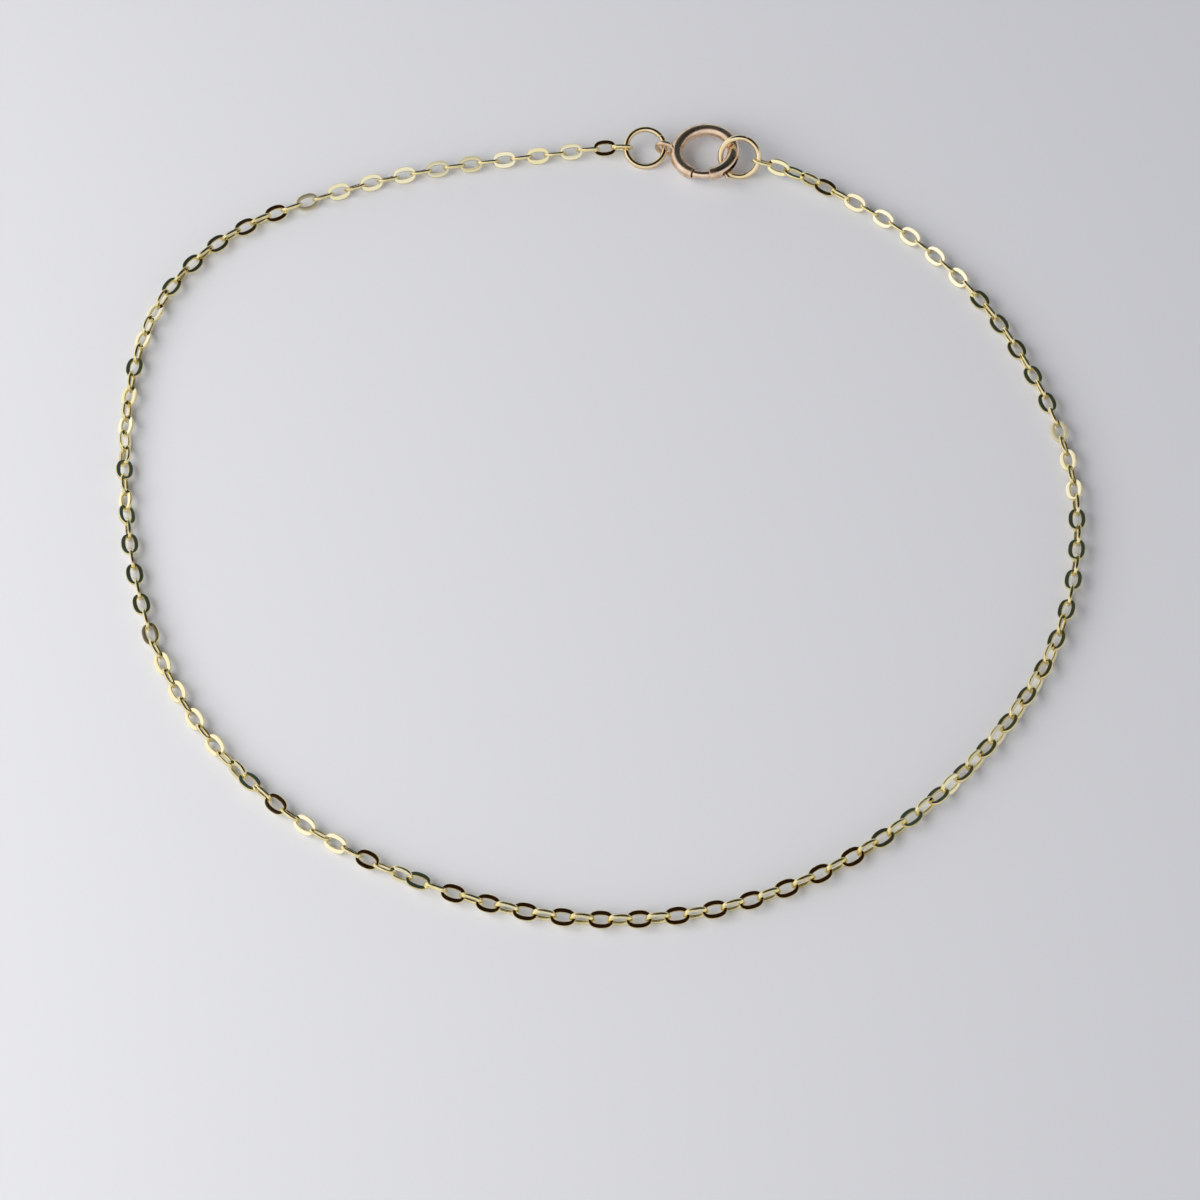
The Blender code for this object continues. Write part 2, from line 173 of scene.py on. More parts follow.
def drawnGoldMaterial(settings, name="drawn 14k yellow gold wire"):
    material, tree, shader = newMaterial(name)
    place = addNode(tree, "ShaderNodeUVMap", {"uv_map": "wire"})
    cloudy = addNode(
        tree, "ShaderNodeTexNoise",
        {"Scale": 1 / settings["tarnish"], "Detail": 4.0, "Roughness": 0.6},
        {"Vector": place.outputs["UV"]},
    )
    start, end = settings["toneRange"]
    spread = addNode(
        tree, "ShaderNodeMapRange", {"From Min": start, "From Max": end}, {"Value": cloudy.outputs["Fac"]}
    )
    colour = addNode(
        tree, "ShaderNodeMix",
        {"data_type": "RGBA", 6: linearFrom(settings["pale"]), 7: linearFrom(settings["deep"])},
        {0: spread.outputs["Result"]},
    )
    tree.links.new(colour.outputs[2], shader.inputs["Base Color"])
    (start, end), (low, high) = settings["glossRange"], settings["roughness"]
    gloss = addNode(
        tree, "ShaderNodeMapRange", {"From Min": start, "From Max": end, "To Min": low, "To Max": high},
        {"Value": cloudy.outputs["Fac"]},
    )
    tree.links.new(gloss.outputs["Result"], shader.inputs["Roughness"])
    along = 1 / settings["dieLine"]
    lines = addNode(
        tree, "ShaderNodeMapping", {"Scale": (along / settings["stretch"], along, 1)},
        {"Vector": place.outputs["UV"]},
    )
    grain = addNode(
        tree, "ShaderNodeTexNoise", {"Scale": 1.0, "Detail": 2.0}, {"Vector": lines.outputs["Vector"]}
    )
    bump = addNode(
        tree, "ShaderNodeBump",
        {"Distance": settings["lineDepth"], "Strength": 0.6},
        {"Height": grain.outputs["Fac"]},
    )
    tree.links.new(bump.outputs["Normal"], shader.inputs["Normal"])
    return material


# Round jump rings of the same gold, closed and tumbled smooth, so softly scratched all ways
tumbledGold = {
    "pale": "#F3E2B8",
    "deep": "#E2C896",
    "roughness": (0.1, 0.22),
    "dieLine": 0.05,
    "stretch": 20,
    "lineDepth": 0.001 * mm,
    "tarnish": 0.9,
    "toneRange": (0.35, 0.7),
    "glossRange": (0.3, 0.7),
}

# The clasp comes from another maker's stock and is a redder 14k, buffed on a wheel.
# It gives rosy highlights beside the paler chain, with dark bands between them.
buffedGold = {
    "pale": "#F2DCC2",
    "deep": "#DABA96",
    "roughness": (0.2, 0.36),
    "buffing": 0.06,  # wheel scratches are 0.01 mm wide, drawn six times as coarse
    "stretch": 12,
    "scratchTurn": (0.3, 0.2, 0.6),
    "scratchDepth": 0.0015 * mm,
    "cloud": 0.8,
    "toneRange": (0.35, 0.68),
    "glossRange": (0.3, 0.7),
}


def buffedGoldMaterial(settings):
    material, tree, shader = newMaterial("buffed 14k rose yellow gold")
    place = addNode(tree, "ShaderNodeTexCoord")
    inMillimetres = addNode(
        tree, "ShaderNodeMapping", {"Scale": (1 / mm, 1 / mm, 1 / mm)}, {"Vector": place.outputs["Object"]}
    )
    cloudy = addNode(
        tree, "ShaderNodeTexNoise",
        {"Scale": 1 / settings["cloud"], "Detail": 4.0, "Roughness": 0.55},
        {"Vector": inMillimetres.outputs["Vector"]},
    )
    start, end = settings["toneRange"]
    spread = addNode(
        tree, "ShaderNodeMapRange", {"From Min": start, "From Max": end}, {"Value": cloudy.outputs["Fac"]}
    )
    colour = addNode(
        tree, "ShaderNodeMix",
        {"data_type": "RGBA", 6: linearFrom(settings["pale"]), 7: linearFrom(settings["deep"])},
        {0: spread.outputs["Result"]},
    )
    tree.links.new(colour.outputs[2], shader.inputs["Base Color"])
    (start, end), (low, high) = settings["glossRange"], settings["roughness"]
    gloss = addNode(
        tree, "ShaderNodeMapRange", {"From Min": start, "From Max": end, "To Min": low, "To Max": high},
        {"Value": cloudy.outputs["Fac"]},
    )
    tree.links.new(gloss.outputs["Result"], shader.inputs["Roughness"])
    fine = 1 / settings["buffing"]
    drawnOut = addNode(
        tree, "ShaderNodeMapping",
        {"Scale": (fine / settings["stretch"], fine, fine), "Rotation": settings["scratchTurn"]},
        {"Vector": inMillimetres.outputs["Vector"]},
    )
    grain = addNode(
        tree, "ShaderNodeTexNoise", {"Scale": 1.0, "Detail": 2.0}, {"Vector": drawnOut.outputs["Vector"]}
    )
    bump = addNode(
        tree, "ShaderNodeBump",
        {"Distance": settings["scratchDepth"], "Strength": 0.5},
        {"Height": grain.outputs["Fac"]},
    )
    tree.links.new(bump.outputs["Normal"], shader.inputs["Normal"])
    return material


linkFace = cutGoldMaterial(cutGold)
linkSide = drawnGoldMaterial(drawnGold)
ringWire = drawnGoldMaterial(tumbledGold, "tumbled 14k yellow gold wire")
claspGold = buffedGoldMaterial(buffedGold)
print("gold finishes made")

# Middle of the chain as it lies, counter-clockwise from the clasp, in millimetres
routePoints = (
    (6.6, 32.75), (2.7, 33.3), (-4.6, 32.7), (-12.6, 31.2), (-18.9, 28.9), (-23.9, 25.7), (-27.1, 21.1),
    (-28.4, 15.4), (-28.4, 9.0), (-27.6, 3.0), (-25.9, -3.0), (-22.6, -9.0), (-17.6, -14.2),
    (-10.6, -18.3), (-3.1, -20.6), (4.0, -20.7), (11.0, -18.7), (17.3, -14.7), (22.6, -9.3),
    (26.4, -3.1), (28.2, 4.3), (27.9, 10.6), (25.9, 16.8), (22.5, 22.8), (17.6, 27.9), (12.4, 31.0),
)
routeShift = (0.145, -6.785)


# A smooth closed line through the points, with its distance along
def smoothLoop(points, shift, perSpan=60):
    knots = (np.array(points) + shift) * mm
    steps = np.linalg.norm(np.roll(knots, -1, axis=0) - knots, axis=1)
    count = len(knots)
    matrix = np.zeros((count, count))
    wanted = np.zeros((count, 2))
    for i in range(count):
        before, after = i - 1, (i + 1) % count
        matrix[i, before] += steps[before]
        matrix[i, i] += 2 * (steps[before] + steps[i])
        matrix[i, after] += steps[i]
        wanted[i] = 6 * (
            (knots[after] - knots[i]) / steps[i] - (knots[i] - knots[before]) / steps[before]
        )
    bends = np.linalg.solve(matrix, wanted)
    spans = []
    for i, step in enumerate(steps):
        j = (i + 1) % count
        part = np.linspace(0, 1, perSpan, endpoint=False)[:, None]
        rest = 1 - part
        curve = (rest**3 - rest) * bends[i] + (part**3 - part) * bends[j]
        spans.append(rest * knots[i] + part * knots[j] + curve * step**2 / 6)
    line = np.concatenate(spans)
    line = np.vstack([line, line[:1]])
    along = np.concatenate([[0], np.cumsum(np.linalg.norm(np.diff(line, axis=0), axis=1))])
    return line, along


routeLine, routeAlong = smoothLoop(routePoints, routeShift)
routeLength = routeAlong[-1]


def routePoint(distance, height=0.0):
    distance = distance % routeLength
    x = np.interp(distance, routeAlong, routeLine[:, 0])
    y = np.interp(distance, routeAlong, routeLine[:, 1])
    return Vector((x, y, height))


# How the chain lies, in rows of: share of it from the eye ring to the end ring, turn of every other
# link in degrees, and how far the links between them are off a quarter turn from those. At turn 0
# a link lies flat, and more leans its face to the middle of the loop.
chainSettings = {
    "links": 158,
    "start": 5.2707 * mm,
    "end": 172.1588 * mm,
    "meetingGap": 0.06 * mm,
    "startHeight": 0.6370 * mm,
    "endHeight": 1.0427 * mm,
    "startFall": 0.03,
    "endRise": 0.035,
    "turns": (
        (0.000, 27, 0), (0.025, 36, 0), (0.076, 36, 0), (0.089, 42, 0), (0.121, 38, 0), (0.140, 14, 0),
        (0.178, 10, 0), (0.197, -18, 0), (0.210, -20, 0), (0.223, -2, 0), (0.236, -22, 0),
        (0.248, -23, 0), (0.261, -48, 0), (0.274, -104, 0), (0.287, -152, 0), (0.299, -178, 0),
        (0.331, -178, 0), (0.338, -198, 0), (0.350, -206, 0), (0.389, -208, 0), (0.420, -288, 0),
        (0.433, -306, 0), (0.446, -308, 0), (0.459, -290, 0), (0.484, -378, 0), (0.510, -378, 23),
        (0.631, -376, 21), (0.675, -341, 18), (0.739, -341, 18), (0.771, -353, -20), (0.803, -351, -20),
        (0.809, -332, 0), (0.834, -331, 0), (0.847, -352, 0), (0.898, -352, 0), (0.911, -327, 0),
        (0.962, -327, 0), (0.981, -365, 0), (1.000, -405, 0),
    ),
    "wobble": {"roll": 1.4, "nose": 1.05},  # spread of each link's loose play, in degrees
    "seed": 11,
}

# A link is round wire bent to an oval and cut flat on both faces, thinner where the links bear
linkSettings = {
    "innerWidth": 0.47 * mm,
    "sideWire": 0.285 * mm,
    "endWire": 0.18 * mm,
    "thickness": 0.18 * mm,
    "play": 0.012 * mm,  # how far the next link's wire stays off the inside of the end
    "roundness": 2.3,  # 2 is an ellipse, more is squarer
    "crown": 0.0012 * mm,
    "sideBulge": 0.032 * mm,
    "sideSteps": 6,
    "stations": 60,
    "finely": 2001,  # points of the oval before they are spaced evenly
}


# Points round the wire as (side, outward, up), where side is -1, 0 or 1 of the wire's half width:
# round sides, and two cut flats that end in sharp corners
def wireSection(settings):
    halfThick = settings["thickness"] / 2
    bulge = settings["sideBulge"]
    steps = settings["sideSteps"]
    radius = (halfThick**2 + bulge**2) / (2 * bulge)
    spread = math.asin(halfThick / radius)
    outer = []
    for k in range(steps + 1):
        turn = spread * (1 - 2 * k / steps)
        outer.append((1, -radius * (1 - math.cos(turn)), radius * math.sin(turn)))
    inner = [(-1, -x, -y) for _, x, y in outer]
    crown = halfThick + settings["crown"]
    points = outer + [(0, 0, -crown)] + inner + [(0, 0, crown)]
    last = len(outer)
    corners = (0, last - 1, last + 1, 2 * last)
    flats = (last - 1, last, 2 * last, 2 * last + 1)
    return np.array(points), corners, flats


# The oval's middle line, evenly spaced, with its outward direction and the wire's half width
def linkOval(settings, pitch):
    halfSide, halfEnd = settings["sideWire"] / 2, settings["endWire"] / 2
    halfLong = pitch / 2 + settings["play"] + halfEnd
    halfWide = settings["innerWidth"] / 2 + halfSide
    power = 2 / settings["roundness"]
    turns = np.linspace(0, 2 * math.pi, settings["finely"])
    cos, sin = np.cos(turns), np.sin(turns)
    line = np.stack([
        halfLong * np.sign(cos) * np.abs(cos) ** power,
        halfWide * np.sign(sin) * np.abs(sin) ** power,
    ], 1)
    along = np.concatenate([[0], np.cumsum(np.linalg.norm(np.diff(line, axis=0), axis=1))])
    places = np.linspace(0, along[-1], settings["stations"], endpoint=False)
    oval = np.stack([np.interp(places, along, line[:, k]) for k in (0, 1)], 1)
    ahead = np.roll(oval, -1, axis=0) - np.roll(oval, 1, axis=0)
    ahead /= np.linalg.norm(ahead, axis=1)[:, None]
    halfWire = halfEnd + (halfSide - halfEnd) * ahead[:, 0] ** 2
    return oval, np.stack([ahead[:, 1], -ahead[:, 0]], 1), halfWire


patternStep = 3.7  # each tube's pattern starts this far on, in mm, so that no two look the same


# Closed tubes from points[tube, station, round], as one mesh with a UV map in mm along and round
def tubesMesh(name, points, flats=(), corners=(), tones=None):
    tubes, stations, rounds, _ = points.shape
    mesh = bpy.data.meshes.new(name)
    index = np.arange(tubes * stations * rounds).reshape(tubes, stations, rounds)
    nextStation = np.roll(index, -1, axis=1)
    nextRound = np.roll(index, -1, axis=2)
    nextBoth = np.roll(nextStation, -1, axis=2)
    faces = np.stack([index, nextStation, nextBoth, nextRound], -1).reshape(-1, 4)
    first = points[0]
    along = np.linalg.norm(np.roll(first, -1, axis=0) - first, axis=2).mean(axis=1)
    round_ = np.linalg.norm(np.roll(first, -1, axis=1) - first, axis=2).mean(axis=0)
    u = np.concatenate([[0], np.cumsum(along)]) / mm
    v = np.concatenate([[0], np.cumsum(round_)]) / mm
    low, high = u[:-1, None] + 0 * v[None, :-1], u[1:, None] + 0 * v[None, :-1]
    near, far = 0 * u[:-1, None] + v[None, :-1], 0 * u[:-1, None] + v[None, 1:]
    maps = np.stack([
        np.stack([low, near], -1), np.stack([high, near], -1),
        np.stack([high, far], -1), np.stack([low, far], -1),
    ], 2)
    maps = np.broadcast_to(maps, (tubes, *maps.shape)).copy()
    shift = np.arange(tubes)[:, None] * (patternStep, 0)
    maps = (maps + shift[:, None, None, None, :]).reshape(-1, 4, 2)
    flat = points.reshape(-1, 3)
    corner = flat[faces]
    normal = np.cross(corner[:, 1] - corner[:, 0], corner[:, 3] - corner[:, 0])
    if (normal * corner.mean(axis=1)).sum() < 0:
        faces, maps = faces[:, ::-1], maps[:, ::-1]
    mesh.from_pydata(flat.tolist(), [], faces.tolist())
    mesh.uv_layers.new(name="wire").data.foreach_set("uv", maps.astype(np.float32).ravel())
    mesh.polygons.foreach_set("use_smooth", np.ones(len(faces), bool))
    strip = np.broadcast_to(np.arange(rounds), (tubes, stations, rounds)).ravel()
    mesh.polygons.foreach_set("material_index", np.where(np.isin(strip, flats), 0, 1).astype(np.int32))
    if corners:
        ends = np.empty(len(mesh.edges) * 2, np.int32)
        mesh.edges.foreach_get("vertices", ends)
        ends = ends.reshape(-1, 2) % rounds
        sharp = (ends[:, 0] == ends[:, 1]) & np.isin(ends[:, 0], corners)
        mesh.attributes.new("sharp_edge", "BOOLEAN", "EDGE").data.foreach_set("value", sharp)
    if tones is not None:
        values = np.repeat(tones, stations * rounds).astype(np.float32)
        mesh.attributes.new("linkTone", "FLOAT", "POINT").data.foreach_set("value", values)
    mesh.update()
    return mesh


def addPiece(name, mesh, body, slotName, node, *materials):
    piece = bpy.data.objects.new(name, mesh)
    pieces.objects.link(piece)
    for material in materials:
        mesh.materials.append(material)
    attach(piece, body)
    if node:
        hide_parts(node)
    return piece


# Turn of a link at this share of the chain, for the family that it belongs to
def turnAt(share, between):
    shares, turns, offs = zip(*chainSettings["turns"])
    turn = np.interp(share, shares, turns)
    if between:
        turn += 90 + np.interp(share, shares, offs)
    return math.radians(turn)


def smoothStep(part):
    part = min(max(part, 0.0), 1.0)
    return part * part * (3 - 2 * part)


# Height of the chain's middle where its links stand on the floor, and up to the two rings
def chainHeight(share):
    outer = linkSettings["innerWidth"] / 2 + linkSettings["sideWire"]
    flat = linkSettings["thickness"] / 2
    tops = []
    for between in (False, True):
        turn = turnAt(share, between)
        upright, level = abs(math.sin(turn)), abs(math.cos(turn))
        tops.append(max(outer * upright, (outer - linkSettings["sideBulge"]) * upright + flat * level))
    height = max(tops)
    start, end = chainSettings["startHeight"], chainSettings["endHeight"]
    height += (start - height) * smoothStep(1 - share / chainSettings["startFall"])
    return height + (end - height) * smoothStep(1 - (1 - share) / chainSettings["endRise"])


def chainPoint(distance):
    share = (distance - chainSettings["start"]) / (chainSettings["end"] - chainSettings["start"])
    return routePoint(distance, chainHeight(share))


# Where link number i lies: its middle, and its own directions along, sideways and out
def linkFrame(number, play):
    half = chainSettings["links"] // 2
    run = chainSettings["end"] - chainSettings["start"]
    pitch = (run + chainSettings["meetingGap"]) / (2 * half - 1)
    if number < half:
        distance = chainSettings["start"] + number * pitch
    else:
        distance = chainSettings["end"] - (2 * half - 1 - number) * pitch
    middle = chainPoint(distance)
    along = (chainPoint(distance + pitch / 2) - chainPoint(distance - pitch / 2)).normalized()
    wobble = chainSettings["wobble"]
    share = (distance - chainSettings["start"]) / run
    turn = turnAt(share, number % 2 == 0)
    turn += math.radians(play.gauss(0, wobble["roll"]))
    level = upward.cross(along).normalized()
    lifted = along.cross(level)
    normal = math.cos(turn) * lifted + math.sin(turn) * level
    nose = Matrix.Rotation(math.radians(play.gauss(0, wobble["nose"])), 3, normal.cross(along))
    along, normal = nose @ along, nose @ normal
    return middle, along, normal.cross(along), normal, pitch


def chainHalf(name, numbers, play):
    section, corners, flats = wireSection(linkSettings)
    rings, tones = [], []
    for number in numbers:
        middle, along, sideways, normal, pitch = linkFrame(number, play)
        oval, outward, halfWire = linkOval(linkSettings, pitch)
        axes = np.array([along, sideways, normal])
        reach = halfWire[:, None] * section[None, :, 0] + section[None, :, 1]
        local = np.zeros((*reach.shape, 3))
        local[:, :, :2] = oval[:, None] + outward[:, None] * reach[:, :, None]
        local[:, :, 2] = section[None, :, 2]
        rings.append(local @ axes + np.array(middle))
        tones.append(play.random())
    mesh = tubesMesh(name, np.array(rings), flats, corners, np.array(tones))
    return addPiece(name + "_links", mesh, "bracelet", "chain_gold", name, linkFace, linkSide)


play = random.Random(chainSettings["seed"])
halfCount = chainSettings["links"] // 2
chainHalf("chain_left", range(halfCount), play)
chainHalf("chain_right", range(halfCount, 2 * halfCount), play)
print("chain of", 2 * halfCount, "links made")

# The two jump rings, of round wire with a soldered seam
ringSettings = {
    "diameter": 2.79 * mm,
    "wire": 0.36 * mm,
    "stations": 120,
    "sides": 24,
    "seamDepth": 0.03 * mm,
    "seamWidth": 0.03 * mm,
    "seamAt": {"eye_ring": 140, "end_ring": 100},
    "lean": {"eye_ring": 22, "end_ring": 45},  # how far its back edge is raised, in degrees
    "pastTube": 0.4313 * mm,  # from the clasp's tube to the end ring's centre
}


def jumpRing(name, matrix, settings):
    radius = (settings["diameter"] - settings["wire"]) / 2
    seam = math.radians(settings["seamAt"][name])
    spread = settings["seamWidth"] / radius
    turns = seam + np.concatenate([
        np.linspace(spread, 2 * math.pi - spread, settings["stations"]),
        2 * math.pi + spread * np.array([-0.5, 0, 0.5]),
    ])
    away = np.abs((turns - seam + math.pi) % (2 * math.pi) - math.pi)
    wire = settings["wire"] / 2 - settings["seamDepth"] * np.clip(1 - away / spread, 0, 1)
    rounds = np.linspace(0, 2 * math.pi, settings["sides"], endpoint=False)
    reach = radius + wire[:, None] * np.cos(rounds)[None]
    local = np.stack([
        reach * np.cos(turns)[:, None],
        reach * np.sin(turns)[:, None],
        wire[:, None] * np.sin(rounds)[None],
    ], -1)
    axes = np.array(matrix.to_3x3()).T
    mesh = tubesMesh(name + "_wire", (local @ axes + np.array(matrix.translation))[None])
    return addPiece(name + "_wire", mesh, "bracelet", "ring_gold", name, ringWire, ringWire)


def axesMatrix(origin, xAxis, yAxis, zAxis):
    matrix = Matrix((xAxis, yAxis, zAxis)).transposed().to_4x4()
    matrix.translation = origin
    return matrix


# The clasp: a ring of tube with a mouth, in which a curved bolt slides, and a fixed eye
claspSettings = {
    "radius": 1.80 * mm,
    "tube": 0.80 * mm,
    "wall": 0.125 * mm,
    "mouth": -70,
    "travel": 38,
    "socketDepth": 4,
    "lip": 0.045 * mm,
    "knobAt": -44,
    "knobDiameter": 0.28 * mm,
    "knobReach": 0.90 * mm,
    "knobNeck": 0.224 * mm,
    "knobHead": (0.42 * mm, 0.36 * mm),  # where it starts and is full, below the knob's top
    "boltPlay": 0.04 * mm,
    "boltTail": 6,
    "slotPlay": 0.05 * mm,
    "slotDepth": 0.7 * mm,
    "eyeHole": 0.70 * mm,
    "eyeWire": 0.30 * mm,
    "eyeSink": 0.12 * mm,
    "slope": 5.1229,
    "height": 0.8819 * mm,
    "sides": 40,
    "stations": 150,
    "lipSteps": 4,
    "eyeSides": (64, 20),
    "slotSides": 32,
    "slotSteps": 12,
    "boltSides": 28,
    "boltSteps": 24,
    "poleSteps": (9, 8),  # round the nose and round the knob's top
}
claspEyeCentre = (
    claspSettings["radius"] + claspSettings["tube"] / 2 - claspSettings["eyeSink"]
    + (claspSettings["eyeHole"] + claspSettings["eyeWire"]) / 2
)


# Direction of the route, level, at this distance along it
def routeDirection(distance):
    reach = 0.25 * mm
    return (routePoint(distance + reach) - routePoint(distance - reach)).normalized()


def claspMatrix(settings):
    level = -routeDirection(0)
    back = upward.cross(level)
    slope = math.radians(settings["slope"])
    forward = math.cos(slope) * level + math.sin(slope) * upward
    return axesMatrix(routePoint(0, settings["height"]), forward, back, forward.cross(back))


claspAxes = claspMatrix(claspSettings)


# A ring lies across the route with its back edge raised
def ringMatrix(place, height, lean):
    along = routeDirection(place)
    back = -upward.cross(along)
    across = math.cos(math.radians(lean)) * back + math.sin(math.radians(lean)) * upward
    return axesMatrix(routePoint(place, height), along, across, along.cross(across))


claspShare = math.cos(math.radians(claspSettings["slope"]))
eyeRingPlace = claspEyeCentre * claspShare + (ringSettings["diameter"] - ringSettings["wire"]) / 2
endRingPlace = routeLength - claspSettings["radius"] * claspShare - ringSettings["pastTube"]
for name, place, height in (
    ("eye_ring", eyeRingPlace, chainSettings["startHeight"]),
    ("end_ring", endRingPlace, chainSettings["endHeight"]),
):
    jumpRing(name, ringMatrix(place, height, ringSettings["lean"][name]), ringSettings)
print("jump rings made")


# Faces over these rows of corners, closed at both ends
def skinOver(bm, rows):
    for one, other in zip(rows, rows[1:]):
        for k in range(len(one)):
            after = (k + 1) % len(one)
            bm.faces.new((one[k], one[after], other[after], other[k]))
    for row in (rows[0], rows[-1]):
        bm.faces.new(row)
    bmesh.ops.recalc_face_normals(bm, faces=bm.faces)
    return bm


# Round bar bent about Z at the clasp's radius, from rows of angle and section radius
def bentBar(rows, sides, radius):
    bm = bmesh.new()
    rings = []
    for angle, half in rows:
        turn = math.radians(angle)
        out = Vector((math.cos(turn), math.sin(turn), 0))
        ring = []
        for k in range(sides):
            round_ = 2 * math.pi * k / sides
            spot = out * (radius + half * math.cos(round_)) + upward * half * math.sin(round_)
            ring.append(bm.verts.new(spot))
        rings.append(ring)
    return skinOver(bm, rings)


# Post along the direction at this angle, from rows of reach and radius
def radialPost(rows, angle, sides):
    bm = bmesh.new()
    turn = math.radians(angle)
    out = Vector((math.cos(turn), math.sin(turn), 0))
    side = Vector((-math.sin(turn), math.cos(turn), 0))
    rings = []
    for reach, half in rows:
        rings.append([
            bm.verts.new(
                out * reach
                + side * half * math.cos(2 * math.pi * k / sides)
                + upward * half * math.sin(2 * math.pi * k / sides)
            )
            for k in range(sides)
        ])
    return skinOver(bm, rings)


def helperFrom(name, bm):
    mesh = bpy.data.meshes.new(name)
    bm.to_mesh(mesh)
    bm.free()
    helper = bpy.data.objects.new(name, mesh)
    pieces.objects.link(helper)
    return helper


# The target's mesh after these cuts and joins, as a new mesh with crisp cut edges
def joinedMesh(name, target, steps, sharpAbove=38):
    for operation, other in steps:
        modifier = target.modifiers.new(other.name, "BOOLEAN")
        modifier.operation = operation
        modifier.object = other
        modifier.solver = "EXACT"
    graph = bpy.context.evaluated_depsgraph_get()
    mesh = bpy.data.meshes.new_from_object(target.evaluated_get(graph))
    mesh.name = name
    mesh.transform(claspAxes)
    mesh.shade_smooth()
    mesh.set_sharp_from_angle(angle=math.radians(sharpAbove))
    for helper in [target] + [other for _, other in steps]:
        bpy.data.objects.remove(helper, do_unlink=True)
    return mesh


# Outside, lips and bore of the tube as one closed surface
def claspTube(settings):
    start = settings["mouth"]
    end = settings["mouth"] - settings["travel"] + settings["socketDepth"] + 360
    outer, bore = settings["tube"] / 2, settings["tube"] / 2 - settings["wall"]
    lip = settings["lip"]
    lipTurn = math.degrees(lip / settings["radius"])
    run = np.linspace(start + lipTurn, end - lipTurn, settings["stations"])
    turns = np.linspace(0, math.pi / 2, settings["lipSteps"] + 1)[1:]
    curl = list(zip(1 - np.cos(turns), 1 - np.sin(turns)))  # round the lips, as shares of their radius
    outline = [(angle, outer) for angle in run]
    outline += [(end - lipTurn * b, outer - lip * a) for a, b in curl]
    outline += [(end - lipTurn * a, bore + lip * b) for a, b in curl]
    outline += [(angle, bore) for angle in run[::-1][1:]]
    outline += [(start + lipTurn * b, bore + lip * a) for a, b in curl]
    outline += [(start + lipTurn * a, outer - lip * b) for a, b in curl[:-1]]
    angles = np.radians([row[0] for row in outline])[:, None]
    halves = np.array([row[1] for row in outline])[:, None]
    rounds = np.linspace(0, 2 * math.pi, settings["sides"], endpoint=False)[None]
    reach = settings["radius"] + halves * np.cos(rounds)
    points = np.stack([reach * np.cos(angles), reach * np.sin(angles), halves * np.sin(rounds)], -1)
    mesh = tubesMesh("clasp_tube", points[None])
    tube = bpy.data.objects.new("clasp_tube", mesh)
    pieces.objects.link(tube)
    return tube


def claspEye(settings):
    around, sides = settings["eyeSides"]
    bpy.ops.mesh.primitive_torus_add(
        major_segments=around,
        minor_segments=sides,
        major_radius=(settings["eyeHole"] + settings["eyeWire"]) / 2,
        minor_radius=settings["eyeWire"] / 2,
        location=(-claspEyeCentre, 0, 0),
        rotation=(math.pi / 2, 0, 0),
    )
    return bpy.context.object


# The slot in which the knob slides, with round ends
def slotCutters(settings):
    half = settings["knobDiameter"] / 2 + settings["slotPlay"]
    start, end = settings["knobAt"], settings["knobAt"] + settings["travel"]
    reach, top = settings["radius"], settings["radius"] + settings["slotDepth"]
    ends = [
        helperFrom("slot_end", radialPost([(reach, half), (top, half)], angle, settings["slotSides"]))
        for angle in (start, end)
    ]
    bm = bmesh.new()
    columns = []
    for angle in np.linspace(start, end, settings["slotSteps"]):
        turn = math.radians(angle)
        out = Vector((math.cos(turn), math.sin(turn), 0))
        columns.append([
            bm.verts.new(out * distance + upward * height)
            for distance, height in ((reach, -half), (top, -half), (top, half), (reach, half))
        ])
    return ends + [helperFrom("slot_run", skinOver(bm, columns))]


def claspBody(settings):
    steps = [("UNION", claspEye(settings))]
    steps += [("DIFFERENCE", cutter) for cutter in slotCutters(settings)]
    mesh = joinedMesh("clasp_ring", claspTube(settings), steps)
    mesh.materials.clear()
    return addPiece("clasp_ring", mesh, "bracelet", "clasp_gold", "clasp_body", claspGold)


poleTurn = math.radians(83)  # round ends stop short of their poles, where a ring would be a point


# Bolt with a round nose, and the knob that stands out through the slot
def claspBolt(settings):
    half = settings["tube"] / 2 - settings["wall"] - settings["boltPlay"]
    nose = settings["mouth"] - settings["travel"]
    tail = settings["knobAt"] + settings["boltTail"]
    noseTurn = math.degrees(half / settings["radius"])
    noseSteps, knobSteps = settings["poleSteps"]
    rows = []
    for turn in np.linspace(poleTurn, 0, noseSteps):
        rows.append((nose + noseTurn * (1 - math.sin(turn)), half * math.cos(turn)))
    rows += [(angle, half) for angle in np.linspace(rows[-1][0], tail, settings["boltSteps"])[1:]]
    bar = helperFrom("clasp_bar", bentBar(rows, settings["boltSides"], settings["radius"]))
    neck, head = settings["knobNeck"] / 2, settings["knobDiameter"] / 2
    top = settings["radius"] + settings["knobReach"]
    shoulder, full = settings["knobHead"]
    outline = [(settings["radius"], neck), (top - shoulder, neck), (top - full, head)]
    for turn in np.linspace(0, poleTurn, knobSteps):
        outline.append((top - head + head * math.sin(turn), head * math.cos(turn)))
    knob = helperFrom("clasp_knob", radialPost(outline, settings["knobAt"], settings["boltSides"]))
    mesh = joinedMesh("clasp_bolt_bar", bar, [("UNION", knob)])
    return addPiece("clasp_bolt_bar", mesh, "bolt", "clasp_gold", "clasp_bolt", claspGold)


claspBody(claspSettings)
claspBolt(claspSettings)
print("clasp made")

# Plain pale card, pressed smooth, which only catches the light softly
floorSettings = {"colour": "#E3E3E4", "roughness": 0.85, "size": 3.0, "drop": 0.01 * mm}


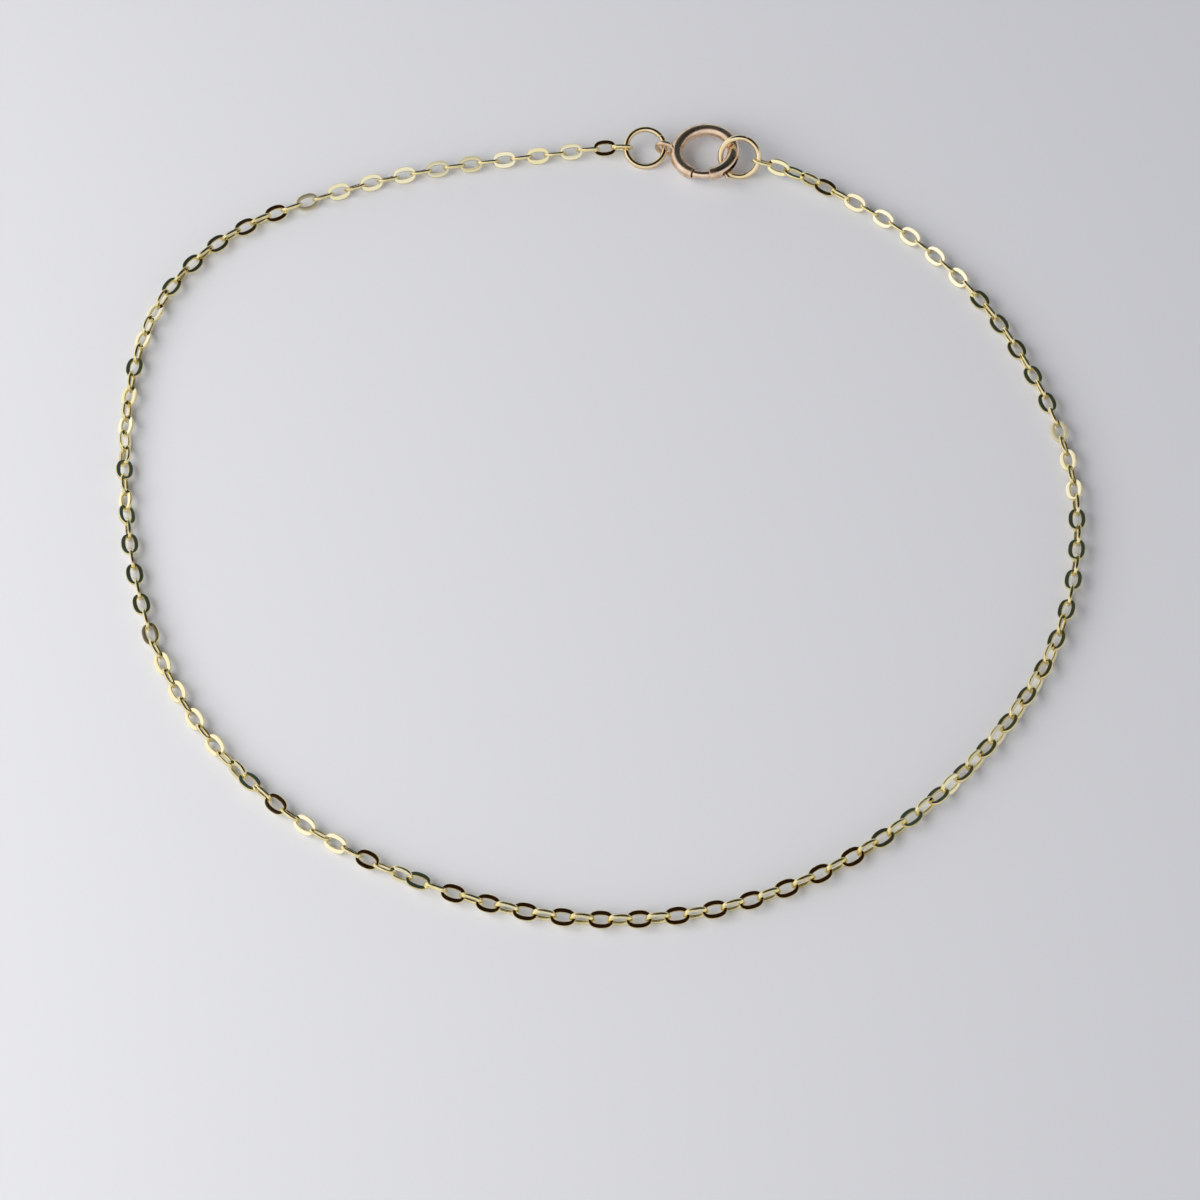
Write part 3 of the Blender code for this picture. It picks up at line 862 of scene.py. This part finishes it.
def makeFloor(settings):
    material, tree, shader = newMaterial("pale card", 0.0)
    shader.inputs["Base Color"].default_value = linearFrom(settings["colour"])
    shader.inputs["Roughness"].default_value = settings["roughness"]
    bpy.ops.mesh.primitive_plane_add(size=settings["size"], location=(0, 0, -settings["drop"]))
    floor = bpy.context.object
    floor.name = "floor"
    floor.data.materials.append(material)


makeFloor(floorSettings)

# What the gold mirrors: pale surroundings, brighter on the left, up to a dark ceiling. The ceiling is
# brown-black overhead, and at the back it goes from olive on the left to teal grey on the right. Its
# edge is lower at the back and on the right.
roomSettings = {
    "surroundings": "#F6F7FF",
    "left": 1.2,
    "right": 0.82,
    "overhead": "#24150F",
    "behindLeft": "#3B3A2D",
    "behindRight": "#36464B",
    "slope": (0.25, 0.45, 1.0),
    "edge": (0.62, 0.76),  # where the pale goes over into the dark, along the slope
    "brightness": (-0.8, 0.8),  # where left goes over into right, along X
    "backward": (0.15, 0.6),  # where overhead goes over into behind, along Y
    "rightward": (-0.4, -0.05),  # where olive goes over into teal grey, along X
}
# Directions are in degrees, 0 to the back and more to the right
lightSettings = {
    "floor light": {"side": -105, "up": 38, "away": 0.18, "wide": 0.22, "high": 0.14, "power": 0.29},
}


def makeRoom(settings):
    world = bpy.data.worlds.new("soft room")
    bpy.context.scene.world = world
    world.use_nodes = True
    tree = world.node_tree
    place = addNode(tree, "ShaderNodeTexCoord")
    parts = addNode(tree, "ShaderNodeSeparateXYZ", {}, {"Vector": place.outputs["Generated"]})
    height = addNode(
        tree, "ShaderNodeVectorMath", {"operation": "DOT_PRODUCT", 1: settings["slope"]},
        {0: place.outputs["Generated"]},
    )
    low, high = settings["edge"]
    above = addNode(
        tree, "ShaderNodeMapRange", {"interpolation_type": "SMOOTHSTEP", "From Min": low, "From Max": high},
        {"Value": height.outputs["Value"]},
    )
    low, high = settings["brightness"]
    across = addNode(
        tree, "ShaderNodeMapRange",
        {"From Min": low, "From Max": high, "To Min": settings["left"], "To Max": settings["right"]},
        {"Value": parts.outputs["X"]},
    )
    low, high = settings["backward"]
    backward = addNode(
        tree, "ShaderNodeMapRange", {"From Min": low, "From Max": high}, {"Value": parts.outputs["Y"]}
    )
    low, high = settings["rightward"]
    rightward = addNode(
        tree, "ShaderNodeMapRange", {"From Min": low, "From Max": high}, {"Value": parts.outputs["X"]}
    )
    behindLeft, behindRight = linearFrom(settings["behindLeft"]), linearFrom(settings["behindRight"])
    behind = addNode(
        tree, "ShaderNodeMix", {"data_type": "RGBA", 6: behindLeft, 7: behindRight},
        {0: rightward.outputs["Result"]},
    )
    ceiling = addNode(
        tree, "ShaderNodeMix", {"data_type": "RGBA", 6: linearFrom(settings["overhead"])},
        {0: backward.outputs["Result"], 7: behind.outputs[2]},
    )
    pale = addNode(
        tree, "ShaderNodeBackground", {"Color": linearFrom(settings["surroundings"])},
        {"Strength": across.outputs["Result"]},
    )
    dark = addNode(tree, "ShaderNodeBackground", {}, {"Color": ceiling.outputs[2]})
    whole = addNode(
        tree, "ShaderNodeMixShader", {},
        {0: above.outputs["Result"], 1: pale.outputs["Background"], 2: dark.outputs["Background"]},
    )
    tree.links.new(whole.outputs["Shader"], tree.nodes["World Output"].inputs["Surface"])


# Soft rectangular light that looks at the bracelet from this direction
def makeLight(name, settings):
    data = bpy.data.lights.new(name, "AREA")
    data.shape = "RECTANGLE"
    data.size = settings["wide"]
    data.size_y = settings["high"]
    data.energy = settings["power"]
    side, up = math.radians(settings["side"]), math.radians(settings["up"])
    away = Vector((math.sin(side) * math.cos(up), math.cos(side) * math.cos(up), math.sin(up)))
    light = bpy.data.objects.new(name, data)
    light.location = away * settings["away"]
    light.rotation_mode = "QUATERNION"
    light.rotation_quaternion = away.to_track_quat("Z", "Y")
    bpy.context.scene.collection.objects.link(light)
    return light


makeRoom(roomSettings)
lights = {name: makeLight(name, settings) for name, settings in lightSettings.items()}
lights["floor light"].visible_glossy = False  # the gold mirrors only the room
print("light and floor made")
